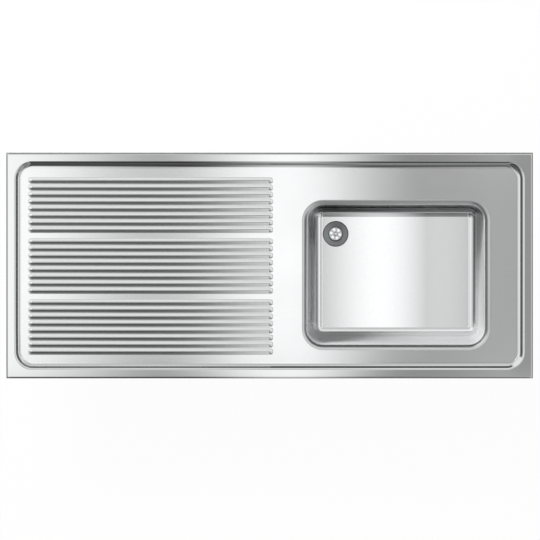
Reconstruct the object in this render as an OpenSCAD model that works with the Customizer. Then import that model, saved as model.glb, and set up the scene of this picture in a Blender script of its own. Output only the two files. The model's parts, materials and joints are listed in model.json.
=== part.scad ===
// Catering sink top: pressed worktop with a ribbed drainer on the left and a deep bowl on the right.
// X runs to the right, Y to the rear, Z up. The origin is the centre of the outline, on the seat plane.

/* [Worktop] */
// Length of the top, left to right
top_l = 1400; // [1360:10:1800]
// Depth of the top, front to rear
top_w = 600; // [580:10:700]
// Height of the turned-down edges
edge_h = 40; // [30:1:60]
// Thickness of the worktop sheet
sheet_t = 1.2; // [0.8:0.1:1.5]
// Outside radius of the bend along the outer edges
edge_r = 2.5; // [1.8:0.1:5]
// Width of the return under the turned-down edges
return_w = 15; // [8:1:16]
// Width of the flat rim
rim_w = 20; // [14:1:24]
// Width in plan of the curved step from rim to deck
step_w = 22; // [18:1:24]
// Drop from the rim to the deck
step_drop = 8; // [5:0.5:10]
// Plan radius of the step's upper line at the corners
step_corner_r = 50; // [40:1:70]

/* [Drainer] */
// Number of groups of ribs
rib_groups = 3; // [1:1:3]
// Ribs in each group
ribs_per_group = 8; // [2:1:8]
// Distance between neighbouring crests
rib_pitch = 18.7; // [15:0.1:19]
// Distance between the middles of neighbouring groups
group_pitch = 162.7; // [158:0.1:164]
// Height of a crest above the deck
rib_h = 2.8; // [1.5:0.1:3.5]
// Width of the flat on a crest
crest_w = 1.2; // [0.6:0.1:2]
// Width of the flat between neighbouring ribs
valley_w = 1; // [0.6:0.1:3]
// Slope of a flank where it leaves the deck, in degrees
toe_slope = 3; // [2:0.5:8]
// Length of a rib over its rounded ends
rib_l = 645; // [400:5:650]
// Distance from the left outer edge to the ribs
rib_inset = 60; // [50:1:70]

/* [Bowl] */
// Length of the bowl's opening, left to right
bowl_l = 500; // [400:10:510]
// Depth of the bowl's opening, front to rear
bowl_w = 400; // [340:10:410]
// Height from the bowl's floor to the deck
bowl_h = 250; // [150:5:300]
// Thickness of the bowl's sheet
bowl_t = 1.2; // [0.8:0.1:1.5]
// Distance from the bowl's opening to the right outer edge
bowl_from_right = 114; // [114:1:150]
// Distance from the bowl's opening to the front outer edge
bowl_from_front = 75; // [75:1:90]
// Plan radius of the opening's corners
bowl_corner_r = 57; // [56:1:90]
// Radius of the rolled top edge
bowl_roll_r = 14; // [8:1:16]
// Radius between the walls and the floor
bowl_base_r = 27; // [15:1:28]
// Slope of the walls away from upright, in degrees
bowl_draft = 3.5; // [1:0.5:3.5]

/* [Waste] */
// Distance from the opening's left edge to the middle of the waste
waste_from_left = 90; // [90:1:250]
// Distance from the opening's rear edge to the middle of the waste
waste_from_rear = 98; // [96:1:200]
// Radius of the waste's flange
flange_r = 32.5; // [31:0.5:34]
// Thickness of the flange at its edge
flange_t = 1.5; // [1.2:0.1:3]
// Depth of the flange's dish
dish_h = 1.6; // [0.8:0.1:2]
// Outside radius of the threaded tail
tail_r = 23.9; // [22:0.1:25]
// Wall of the threaded tail
tail_wall = 3.5; // [2.5:0.1:4]
// Length of the waste, flange included
waste_l = 72; // [60:1:100]
// Radius of the cup that holds the strainer
cup_r = 18.6; // [17:0.1:20]
// Depth of that cup under the dish
cup_h = 3.4; // [2:0.1:6]
// Radius of the bore under the strainer
throat_r = 15.5; // [14:0.1:16]
// Height of the ledge that carries the strainer
ledge_h = 3; // [2:0.5:5]
// Thickness of the strainer's plate
strainer_t = 1.2; // [0.8:0.1:1.5]
// Radius of a hole in the strainer
strainer_hole_r = 3.9; // [2:0.1:4]
// Radius of the circle that the strainer's holes lie on
strainer_pitch_r = 11.6; // [11:0.1:12]
// Number of holes in the strainer
strainer_holes = 6; // [4:1:6]
// Radius of the strainer's knob
knob_r = 3.6; // [2:0.1:4]
// Height of the knob above the plate
knob_h = 3.4; // [2:0.1:4]

/* [Bearers and fixings] */
// Thickness of the bearers and rails
bearer_t = 1.5; // [1:0.1:2]
// Width of a bearer over its legs
bearer_w = 40; // [30:1:40]
// Flat run of each bearer flange
bearer_flange = 14; // [13:0.5:14]
// Radius of the bearer bends, on the sheet's middle line
bearer_bend_r = 2.5; // [1.5:0.1:3]
// Distance from the top's ends to the middle of the end bearers
bearer_inset = 78; // [78:1:90]
// Thickness of the adhesive strips
strip_t = 0.8; // [0.5:0.1:1.5]
// Radius of a weld stud
stud_r = 3; // [2:0.5:3]
// Length of a weld stud
stud_l = 12; // [10:1:16]
// Radius of the cabinet fixing holes in the end bearers
fixing_r = 4.5; // [3:0.5:6]
// Distance between the front and rear fixing holes
fixing_spacing = 480; // [400:10:500]
// Thickness of the sound-deadening pads
pad_t = 2.5; // [1.5:0.1:4]

/* [Hidden] */
$fa = 4;
$fs = 0.5;

// Overshoot of a cutting shape past the face that it cuts
cut = 1;
// Gap between pieces that are put together loosely, and at glued pads
loose = 0.3;
glue = 0.05;

// Levels of the worktop's sheet
deck_z = edge_h - step_drop;
deck_under = deck_z - sheet_t;
// The deck starts at this distance from the outer edges
deck_inset = rim_w + step_w;
deck_l = top_l - 2 * deck_inset;
deck_w = top_w - 2 * deck_inset;

// The step is two equal arcs on the sheet's middle line
step_angle = 2 * atan(step_drop / step_w);
step_bend_r = step_w / (2 * sin(step_angle));

// Flank of a rib: an arc from the toe on the deck to the edge of the crest
rib_half = (rib_pitch - valley_w) / 2;
flank_chord = norm([rib_half - crest_w / 2, rib_h]);
flank_slope = atan(rib_h / (rib_half - crest_w / 2));
flank_r = flank_chord / (2 * sin(flank_slope - toe_slope));
flank_x = rib_half + flank_r * sin(toe_slope);
flank_z = flank_r * cos(toe_slope);
rib_x = rib_inset + rib_l / 2 - top_l / 2;
// The part of the deck that a group of ribs is drawn with
group_l = rib_l + valley_w;
group_w = ribs_per_group * rib_pitch;

// Middle of the bowl's opening and the bowl's section
bowl_x = top_l / 2 - bowl_from_right - bowl_l / 2;
bowl_y = bowl_from_front + bowl_w / 2 - top_w / 2;
floor_z = deck_z - bowl_h;
wall_turn = 90 - bowl_draft;
roll_mid_r = bowl_roll_r - bowl_t / 2;
base_mid_r = bowl_base_r + bowl_t / 2;
wall_run = (bowl_h - (roll_mid_r + base_mid_r) * (1 - cos(wall_turn))) / sin(wall_turn);
// Distance from the opening's edge to the flat floor
floor_inset = (roll_mid_r + base_mid_r) * sin(wall_turn) + wall_run * cos(wall_turn);

// The waste and the recess that it lies in
waste_x = bowl_x - bowl_l / 2 + waste_from_left;
waste_y = bowl_y + bowl_w / 2 - waste_from_rear;
upper_seal_t = 1;
lower_seal_t = 3;
slip_washer_t = 1.5;
seal_r = flange_r - 0.5;
recess_h = upper_seal_t + flange_t;
recess_r = flange_r + 0.5;
recess_slope_w = 2;
floor_hole_r = tail_r + 0.6;
nut_af = 58;
nut_h = 9;
nut_collar_r = 32;
nut_collar_h = 2;
thread_clear = 0.05;
groove_depth = 0.8;
groove_w = 2;
strainer_r = cup_r - 0.6;
strainer_z = floor_z - dish_h - cup_h;
seal_top = floor_z - recess_h - bowl_t;
nut_top = seal_top - lower_seal_t - slip_washer_t;

// Bearers, from the left end to the right end, and the rails beside the bowl
bearer_h = deck_under - strip_t;
bearer_half = bearer_w / 2 - bearer_t / 2 + bearer_bend_r + bearer_flange;
flange_mid = bearer_half - bearer_flange / 2;
bearer_left_x = bearer_inset - top_l / 2;
bearer_xs = [bearer_left_x, bearer_left_x * 2 / 3, bearer_left_x / 3, 0, -bearer_left_x];
bearer_l = top_w - 2 * return_w - 3;
rail_l = -bearer_left_x - 2 * bearer_half - 2 * loose;
rail_x = -bearer_left_x / 2;
rear_rail_y = (bowl_y + bowl_w / 2 + deck_w / 2) / 2;
front_rail_edge = deck_w / 2 - 3;
front_rail_w = 26;
front_rail_h = bearer_h - 2;
front_rail_stud_y = -front_rail_edge + front_rail_w / 2 + 2;
strip_l = deck_w - 6;

// Studs stand where the sheet is flat: between the groups of ribs and beyond the outer groups
stud_ys = [-deck_w / 2 + 11, -group_pitch / 2, group_pitch / 2, deck_w / 2 - 11];
rail_stud_xs = [for (i = [-1:1]) rail_x + i * rail_l / 3];
stud_spots = concat(
    [for (x = bearer_xs) for (side = [-1, 1]) for (y = stud_ys) [x + side * flange_mid, y]],
    [for (x = rail_stud_xs) for (side = [-1, 1]) [x, rear_rail_y + side * flange_mid]],
    [for (x = rail_stud_xs) [x, front_rail_stud_y]]);
stud_hole_r = stud_r + 0.3;
washer_t = 1;
washer_r = stud_r * 2;
stud_nut_h = 5;
stud_nut_af = 10;

// Sound-deadening pads
pad_gap = 10;
drainer_pad_w = -bearer_left_x / 3 - 2 * bearer_half - 2 * pad_gap;
drainer_pad_l = 440;
wall_pad_l = 180;
wall_pad_h = 110;
base_pad_l = 240;
base_pad_w = 190;
base_pad_shift = [35, -15];

// Earth tag inside the rear edge
tag_x = bearer_left_x / 6;
tag_w = 20;
tag_h = 18;
tag_reach = 22;
tag_t = 2;
tag_z = 14;
earth_r = 3;
earth_head_h = 4;
earth_bolt_l = 12;
earth_y = top_w / 2 - sheet_t - tag_reach + tag_w / 2;

// Sector of a disc between two angles
module pie(r, a0, a1) {
    middle = (a0 + a1) / 2;
    far = 2 * r;
    intersection() {
        circle(r);
        polygon([[0, 0], far * [cos(a0), sin(a0)], far * [cos(middle), sin(middle)],
            far * [cos(a1), sin(a1)]]);
    }
}

// Sector of a ring, t thick about the radius r
module arc_band(r, t, a0, a1) {
    difference() {
        pie(r + t / 2, a0, a1);
        circle(r - t / 2);
    }
}

// Section of a bent sheet, drawn along its middle line from the origin towards +X. Each fold is
// [straight run, bend radius, bend angle]: a positive angle bends to the left
module folded(folds, t, i = 0) {
    if (i < len(folds)) {
        run = folds[i][0];
        r = folds[i][1];
        turn = folds[i][2];
        if (run > 0)
            translate([0, -t / 2]) square([run, t]);
        translate([run, 0]) {
            if (turn > 0)
                translate([0, r]) arc_band(r, t, -90, turn - 90);
            if (turn < 0)
                translate([0, -r]) arc_band(r, t, 90 + turn, 90);
            translate([r * sin(abs(turn)), sign(turn) * r * (1 - cos(turn))])
                rotate(turn) folded(folds, t, i + 1);
        }
    }
}

// Carries a section round a rectangle l by w with corner radius r. The section's x is the distance
// inwards from the rectangle's line, and its y is the height
module round_sweep(l, w, r) {
    for (quarter = [0:3]) {
        a = quarter % 2 == 0 ? l : w;
        b = quarter % 2 == 0 ? w : l;
        rotate(90 * quarter) {
            translate([a / 2, b / 2 - r, 0])
                rotate([90, 0, 0])
                    linear_extrude(b - 2 * r)
                        mirror([1, 0]) children();
            translate([a / 2 - r, b / 2 - r, 0])
                rotate_extrude(angle = 90)
                    translate([r, 0])
                        mirror([1, 0]) children();
        }
    }
}

// Flat plate with rounded corners, t thick, its underside on z = 0
module round_plate(l, w, r, t) {
    for (quarter = [0:3]) {
        a = quarter % 2 == 0 ? l : w;
        b = quarter % 2 == 0 ? w : l;
        rotate(90 * quarter) translate([a / 2 - r, b / 2 - r, 0]) {
            translate([0, 2 * r - b, 0]) cube([r, b - 2 * r, t]);
            rotate_extrude(angle = 90) square([r, t]);
        }
    }
    translate([-(l / 2 - r), -(w / 2 - r), 0]) cube([l - 2 * r, w - 2 * r, t]);
}

// Block with its four upper edges rounded to the radius r and its corners mitred
module edge_block(l, w, h, r) {
    intersection() {
        rotate([90, 0, 90])
            linear_extrude(l, center = true) edge_profile(w, h, r);
        rotate([90, 0, 0])
            linear_extrude(w, center = true) edge_profile(l, h, r);
    }
}

module edge_profile(w, h, r) {
    translate([-w / 2, 0]) square([w, h - r]);
    translate([r - w / 2, h - r]) square([w - 2 * r, r]);
    translate([w / 2 - r, h - r]) pie(r, 0, 90);
    translate([r - w / 2, h - r]) pie(r, 90, 180);
}

module at_bowl() {
    translate([bowl_x, bowl_y, 0]) children();
}

module at_waste() {
    translate([waste_x, waste_y, 0]) children();
}

// Half of a rib's section, x from the crest's middle, y above the deck. lift moves the flank outwards by
// the sheet, and foot is how far the section reaches below the deck
module rib_half_section(lift, foot) {
    difference() {
        translate([0, -foot]) square([rib_half, rib_h + foot]);
        translate([flank_x, flank_z]) circle(flank_r + lift);
    }
}

module rib_section(lift, foot) {
    for (side = [0, 1])
        mirror([side, 0]) rib_half_section(lift, foot);
}

module each_rib_section(lift, foot) {
    for (i = [0:ribs_per_group - 1])
        translate([(i - (ribs_per_group - 1) / 2) * rib_pitch, 0]) rib_section(lift, foot);
}

// Run-outs of a group of ribs towards +X: each crest falls to the deck in the curve of its flanks
module run_outs() {
    translate([0, -group_w / 2, -sheet_t]) cube([rib_half + valley_w / 2, group_w, sheet_t]);
    difference() {
        rotate([90, 0, 90])
            linear_extrude(rib_half) each_rib_section(0, 0);
        translate([flank_x, 0, flank_z])
            rotate([90, 0, 0])
                cylinder(r = flank_r, h = group_w + 2 * cut, center = true);
    }
}

// One group of ribs with the deck under it, about its own middle, the deck's top on z = 0
module rib_group() {
    straight = rib_l - 2 * rib_half;
    translate([-straight / 2, 0, 0])
        rotate([90, 0, 90])
            linear_extrude(straight)
                difference() {
                    union() {
                        translate([-group_w / 2, -sheet_t]) square([group_w, sheet_t]);
                        each_rib_section(0, sheet_t / 2);
                    }
                    each_rib_section(sheet_t, sheet_t + cut);
                }
    for (side = [0, 1])
        mirror([side, 0, 0])
            translate([straight / 2, 0, 0]) run_outs();
}

module at_each_group() {
    for (g = [0:rib_groups - 1])
        translate([rib_x, (g - (rib_groups - 1) / 2) * group_pitch, deck_z]) children();
}

// Rim, turned-down edges and returns, open where the step begins
module rim() {
    difference() {
        edge_block(top_l, top_w, edge_h, edge_r);
        translate([0, 0, sheet_t])
            edge_block(top_l - 2 * sheet_t, top_w - 2 * sheet_t, edge_h - 2 * sheet_t, edge_r - sheet_t);
        translate([return_w - top_l / 2, return_w - top_w / 2, -cut])
            cube([top_l - 2 * return_w, top_w - 2 * return_w, sheet_t + 2 * cut]);
        translate([0, 0, edge_h - sheet_t - cut])
            round_plate(top_l - 2 * rim_w, top_w - 2 * rim_w, step_corner_r, sheet_t + 2 * cut);
    }
}

// Deck, open at the bowl and where the groups of ribs lie
module deck() {
    difference() {
        translate([0, 0, deck_under]) round_plate(deck_l, deck_w, step_corner_r - step_w, sheet_t);
        at_bowl() translate([0, 0, deck_under - cut])
            round_plate(bowl_l, bowl_w, bowl_corner_r, sheet_t + 2 * cut);
        at_each_group() translate([0, 0, -sheet_t / 2])
            cube([group_l, group_w, sheet_t + 2 * cut], center = true);
    }
}

module worktop() {
    color("silver") {
        rim();
        translate([0, 0, edge_h - sheet_t / 2])
            round_sweep(top_l - 2 * rim_w, top_w - 2 * rim_w, step_corner_r)
                folded([[0, step_bend_r, -step_angle], [0, step_bend_r, step_angle]], sheet_t);
        deck();
        at_each_group() rib_group();
    }
}

module bowl() {
    floor_corner_r = bowl_corner_r - floor_inset;
    edge_mid_z = deck_z - bowl_t / 2;
    cup_edge_r = recess_r + recess_slope_w + bowl_t;
    color("gainsboro") {
        at_bowl() translate([0, 0, edge_mid_z])
            round_sweep(bowl_l, bowl_w, bowl_corner_r)
                folded([[0, roll_mid_r, -wall_turn], [wall_run, base_mid_r, wall_turn]], bowl_t);
        difference() {
            at_bowl() translate([0, 0, floor_z - bowl_t])
                round_plate(bowl_l - 2 * floor_inset, bowl_w - 2 * floor_inset, floor_corner_r, bowl_t);
            at_waste() translate([0, 0, floor_z - bowl_t - cut])
                cylinder(r = cup_edge_r, h = bowl_t + 2 * cut);
        }
        at_waste() translate([0, 0, floor_z])
            rotate_extrude() polygon([[floor_hole_r, -recess_h], [recess_r, -recess_h],
                [recess_r + recess_slope_w, 0], [cup_edge_r, 0], [cup_edge_r, -bowl_t],
                [recess_r + recess_slope_w + bowl_t / 2, -bowl_t],
                [recess_r + bowl_t / 2, -recess_h - bowl_t], [floor_hole_r, -recess_h - bowl_t]]);
    }
}

module waste_body() {
    groove_z = nut_top - nut_h - 2 - floor_z;
    color("lightgray") at_waste() translate([0, 0, floor_z])
        rotate_extrude() polygon([[cup_r, -dish_h], [flange_r - 1, 0], [flange_r, -flange_t / 2],
            [flange_r, -flange_t], [tail_r, -flange_t], [tail_r, groove_z],
            [tail_r - groove_depth, groove_z], [tail_r - groove_depth, groove_z - groove_w],
            [tail_r, groove_z - groove_w], [tail_r, -waste_l], [tail_r - tail_wall, -waste_l],
            [tail_r - tail_wall, -dish_h - cup_h - ledge_h], [throat_r, -dish_h - cup_h - ledge_h],
            [throat_r, -dish_h - cup_h], [cup_r, -dish_h - cup_h]]);
}

module strainer() {
    knob_neck_r = knob_r * 0.6;
    color("whitesmoke") at_waste() translate([0, 0, strainer_z]) {
        difference() {
            cylinder(r = strainer_r, h = strainer_t);
            for (i = [0:strainer_holes - 1])
                rotate(360 / strainer_holes * i - 11)
                    translate([strainer_pitch_r, 0, -cut])
                        cylinder(r = strainer_hole_r, h = strainer_t + 2 * cut);
        }
        translate([0, 0, strainer_t]) cylinder(r = knob_neck_r, h = knob_h - 1.4);
        translate([0, 0, strainer_t + knob_h - 1.4]) cylinder(r1 = knob_neck_r, r2 = knob_r, h = 0.6);
        translate([0, 0, strainer_t + knob_h - 0.8]) cylinder(r1 = knob_r, r2 = knob_r - 0.8, h = 0.8);
    }
}

// Flat ring round the waste's tail, its top at the height z
module waste_ring(outer_r, inner_r, t, z) {
    at_waste() translate([0, 0, z - t])
        difference() {
            cylinder(r = outer_r, h = t);
            translate([0, 0, -cut]) cylinder(r = inner_r, h = t + 2 * cut);
        }
}

module upper_seal() {
    color("dimgray") waste_ring(seal_r, floor_hole_r, upper_seal_t, floor_z - flange_t);
}

module lower_seal() {
    color("dimgray") waste_ring(nut_collar_r, tail_r + loose, lower_seal_t, seal_top);
}

module slip_washer() {
    color("ivory") waste_ring(nut_collar_r, tail_r + loose, slip_washer_t, seal_top - lower_seal_t);
}

module back_nut() {
    color("goldenrod") at_waste() translate([0, 0, nut_top])
        difference() {
            union() {
                translate([0, 0, -nut_collar_h]) cylinder(r = nut_collar_r, h = nut_collar_h);
                translate([0, 0, -nut_h])
                    cylinder(r = nut_af / 2 / cos(30), h = nut_h - nut_collar_h, $fn = 6);
            }
            translate([0, 0, -nut_h - cut]) cylinder(r = tail_r + thread_clear, h = nut_h + 2 * cut);
        }
}

// Hat section: the crown on z = 0 and the two flanges under the deck
module hat_section() {
    leg = bearer_h - bearer_t - 2 * bearer_bend_r;
    crown = bearer_w - bearer_t - 2 * bearer_bend_r;
    translate([-bearer_half, bearer_h - bearer_t / 2])
        folded([[bearer_flange, bearer_bend_r, -90], [leg, bearer_bend_r, 90],
            [crown, bearer_bend_r, 90], [leg, bearer_bend_r, -90], [bearer_flange, 0, 0]], bearer_t);
}

module stud_holes() {
    for (spot = stud_spots)
        translate([spot[0], spot[1], bearer_h - bearer_t - cut])
            cylinder(r = stud_hole_r, h = bearer_t + strip_t + cut + sheet_t / 2);
}

module bearer(i) {
    is_end = i == 0 || i == len(bearer_xs) - 1;
    color("lightsteelblue") difference() {
        translate([bearer_xs[i], bearer_l / 2, 0])
            rotate([90, 0, 0])
                linear_extrude(bearer_l) hat_section();
        stud_holes();
        if (is_end)
            for (side = [-1, 1])
                translate([bearer_xs[i], side * fixing_spacing / 2, -cut])
                    cylinder(r = fixing_r, h = bearer_t + 2 * cut);
    }
}

module rear_rail() {
    color("lightsteelblue") difference() {
        translate([rail_x - rail_l / 2, rear_rail_y, 0])
            rotate([90, 0, 90])
                linear_extrude(rail_l) hat_section();
        stud_holes();
    }
}

module front_rail() {
    leg = front_rail_h - bearer_bend_r - bearer_t / 2;
    arm = front_rail_w - bearer_bend_r - bearer_t / 2;
    color("lightsteelblue") difference() {
        translate([rail_x - rail_l / 2, front_rail_w - front_rail_edge, bearer_h - bearer_t / 2])
            rotate([90, 0, 90])
                linear_extrude(rail_l)
                    mirror([1, 0]) folded([[arm, bearer_bend_r, -90], [leg, 0, 0]], bearer_t);
        stud_holes();
    }
}

module bonding_strips() {
    color("black") difference() {
        union() {
            for (x = bearer_xs)
                for (side = [-1, 1])
                    translate([x + side * flange_mid - bearer_flange / 2, -strip_l / 2, bearer_h])
                        cube([bearer_flange, strip_l, strip_t]);
            for (side = [-1, 1])
                translate([rail_x - rail_l / 2, rear_rail_y + side * flange_mid - bearer_flange / 2,
                        bearer_h])
                    cube([rail_l, bearer_flange, strip_t]);
            translate([rail_x - rail_l / 2, front_rail_stud_y - bearer_flange / 2, bearer_h])
                cube([rail_l, bearer_flange, strip_t]);
        }
        stud_holes();
    }
}

module weld_studs() {
    color("silver") for (spot = stud_spots)
        translate([spot[0], spot[1], deck_under - stud_l]) cylinder(r = stud_r, h = stud_l);
}

module stud_washers() {
    color("silver") for (spot = stud_spots)
        translate([spot[0], spot[1], bearer_h - bearer_t - washer_t])
            difference() {
                cylinder(r = washer_r, h = washer_t);
                translate([0, 0, -cut]) cylinder(r = stud_hole_r, h = washer_t + 2 * cut);
            }
}

module stud_nuts() {
    color("silver") for (spot = stud_spots)
        translate([spot[0], spot[1], bearer_h - bearer_t - washer_t - stud_nut_h])
            difference() {
                cylinder(r = stud_nut_af / 2 / cos(30), h = stud_nut_h, $fn = 6);
                translate([0, 0, -cut]) cylinder(r = stud_r + thread_clear, h = stud_nut_h + 2 * cut);
            }
}

// The i-th pad lies between the bearers i and i + 1
module drainer_pad(i) {
    color("dimgray")
        translate([(bearer_xs[i] + bearer_xs[i + 1]) / 2 - drainer_pad_w / 2, -drainer_pad_l / 2,
                deck_under - pad_t])
            cube([drainer_pad_w, drainer_pad_l, pad_t]);
}

// Pad on the outside of the wall that lies half_l from the bowl's middle, turned to that wall
module wall_pad(turn, half_l) {
    // Halfway down the wall, on its outer face
    half_run = wall_run / 2;
    inset = roll_mid_r * sin(wall_turn) + half_run * cos(wall_turn);
    depth = roll_mid_r * (1 - cos(wall_turn)) + half_run * sin(wall_turn);
    color("dimgray") at_bowl()
        rotate(turn)
            translate([half_l - inset, 0, deck_z - bowl_t / 2 - depth])
                rotate([0, bowl_draft, 0])
                    translate([bowl_t / 2 + glue, -wall_pad_l / 2, -wall_pad_h / 2])
                        cube([pad_t, wall_pad_l, wall_pad_h]);
}

module bowl_pad_base() {
    color("dimgray") at_bowl()
        translate([base_pad_shift[0] - base_pad_l / 2, base_pad_shift[1] - base_pad_w / 2,
                floor_z - bowl_t - pad_t])
            cube([base_pad_l, base_pad_w, pad_t]);
}

module earth_tag() {
    color("silver") difference() {
        translate([tag_x - tag_w / 2, top_w / 2 - sheet_t - tag_reach, tag_z + tag_t / 2])
            rotate([90, 0, 90])
                linear_extrude(tag_w)
                    folded([[tag_reach - tag_t * 1.5, tag_t, 90], [tag_h - tag_t * 1.5, 0, 0]], tag_t);
        translate([tag_x, earth_y, tag_z - cut]) cylinder(r = earth_r + loose, h = tag_t + 2 * cut);
    }
}

module earth_bolt() {
    color("silver") translate([tag_x, earth_y, tag_z + tag_t + washer_t]) {
        cylinder(r = stud_nut_af / 2 / cos(30), h = earth_head_h, $fn = 6);
        translate([0, 0, -earth_bolt_l]) cylinder(r = earth_r, h = earth_bolt_l);
    }
}

module earth_washers() {
    color("silver") for (z = [tag_z + tag_t, tag_z - washer_t])
        translate([tag_x, earth_y, z])
            difference() {
                cylinder(r = earth_r * 2, h = washer_t);
                translate([0, 0, -cut]) cylinder(r = earth_r + loose, h = washer_t + 2 * cut);
            }
}

module earth_nut() {
    color("silver") translate([tag_x, earth_y, tag_z - washer_t - stud_nut_h])
        difference() {
            cylinder(r = stud_nut_af / 2 / cos(30), h = stud_nut_h, $fn = 6);
            translate([0, 0, -cut]) cylinder(r = earth_r + thread_clear, h = stud_nut_h + 2 * cut);
        }
}

worktop();
bowl();
waste_body();
strainer();
upper_seal();
lower_seal();
slip_washer();
back_nut();
bearer(0);  // bearer_left
bearer(1);  // bearer_mid_left
bearer(2);  // bearer_mid_right
bearer(3);  // bearer_centre
bearer(4);  // bearer_right
rear_rail();
front_rail();
bonding_strips();
weld_studs();
stud_washers();
stud_nuts();
drainer_pad(0);  // drainer_pad_left
drainer_pad(1);  // drainer_pad_middle
drainer_pad(2);  // drainer_pad_right
wall_pad(-90, bowl_w / 2);  // bowl_pad_front
wall_pad(90, bowl_w / 2);  // bowl_pad_rear
wall_pad(180, bowl_l / 2);  // bowl_pad_left
wall_pad(0, bowl_l / 2);  // bowl_pad_right
bowl_pad_base();
earth_tag();
earth_bolt();
earth_washers();
earth_nut();
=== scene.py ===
"""Catering sink top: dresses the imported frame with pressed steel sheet, a turned waste and its fittings.

Sizes are in millimetres, as on a drawing, and become metres where a mesh is filled.
"""
import json
import logging
from dataclasses import dataclass, field
from enum import Enum
from math import atan2, copysign, cos, degrees, hypot, pi, radians, sin, tan
from typing import Callable, Sequence, Union

import bmesh
import bpy
import numpy as np
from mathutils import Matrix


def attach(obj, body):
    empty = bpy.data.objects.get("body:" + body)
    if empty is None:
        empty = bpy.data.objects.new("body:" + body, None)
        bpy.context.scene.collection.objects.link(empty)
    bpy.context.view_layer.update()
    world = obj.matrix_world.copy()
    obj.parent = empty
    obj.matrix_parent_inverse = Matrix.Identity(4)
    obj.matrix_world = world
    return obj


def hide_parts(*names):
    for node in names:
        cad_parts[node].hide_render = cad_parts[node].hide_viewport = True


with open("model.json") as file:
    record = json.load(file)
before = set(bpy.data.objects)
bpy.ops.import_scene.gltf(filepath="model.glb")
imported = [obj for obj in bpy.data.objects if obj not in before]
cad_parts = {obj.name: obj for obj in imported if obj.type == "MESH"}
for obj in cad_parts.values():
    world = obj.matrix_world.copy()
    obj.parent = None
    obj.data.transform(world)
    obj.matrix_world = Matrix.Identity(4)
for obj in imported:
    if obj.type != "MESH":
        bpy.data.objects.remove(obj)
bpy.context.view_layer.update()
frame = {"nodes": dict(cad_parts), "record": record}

MM = 0.001
WHITE = (1.0, 1.0, 1.0, 1.0)
COLLAR = 1.0  # flat strip beside a curve, which keeps smooth normals from spreading over long faces
LOG = logging.getLogger("sink_top")

Array = np.ndarray
Material = bpy.types.Material
Value = Union["Wire", float, tuple]


# Shader expressions


def _pair(operation: str, swapped: bool = False) -> Callable[["Wire", Value], "Wire"]:
    """Makes an operator between a wire and another value, which comes first if swapped."""
    step = -1 if swapped else 1
    return lambda *pair: pair[0].maths(operation, *pair[::step])


class Wire:
    """A number or vector that a node gives out, so that shader maths reads as Python."""

    def __init__(self, shader: "Shader", socket: bpy.types.NodeSocket) -> None:
        """Keeps the socket and the shader that it belongs to."""
        self.shader = shader
        self.socket = socket

    def maths(self, operation: str, *values: Value) -> "Wire":
        """The result of one Math node with this operation and these inputs, in order."""
        return self.shader.node("Math", dict(enumerate(values)), operation=operation)

    __add__ = _pair("ADD")
    __radd__ = _pair("ADD", swapped=True)
    __sub__ = _pair("SUBTRACT")
    __rsub__ = _pair("SUBTRACT", swapped=True)
    __mul__ = _pair("MULTIPLY")
    __truediv__ = _pair("DIVIDE")
    __pow__ = _pair("POWER")
    larger = _pair("MAXIMUM")

    def __neg__(self) -> "Wire":
        """This with its sign turned."""
        return self.maths("MULTIPLY", self, -1.0)

    def __abs__(self) -> "Wire":
        """This without its sign."""
        return self.maths("ABSOLUTE", self)

    def ramp(self, low: float, high: float) -> "Wire":
        """A smooth rise from 0 where this is low to 1 where it is high; low may be above high."""
        limits = {"Value": self, "From Min": low, "From Max": high}
        return self.shader.node("MapRange", limits, interpolation_type="SMOOTHSTEP")

    def part(self, axis: str) -> "Wire":
        """The X, Y or Z part of this vector."""
        return self.shader.node("SeparateXYZ", {0: self}, axis)


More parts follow.
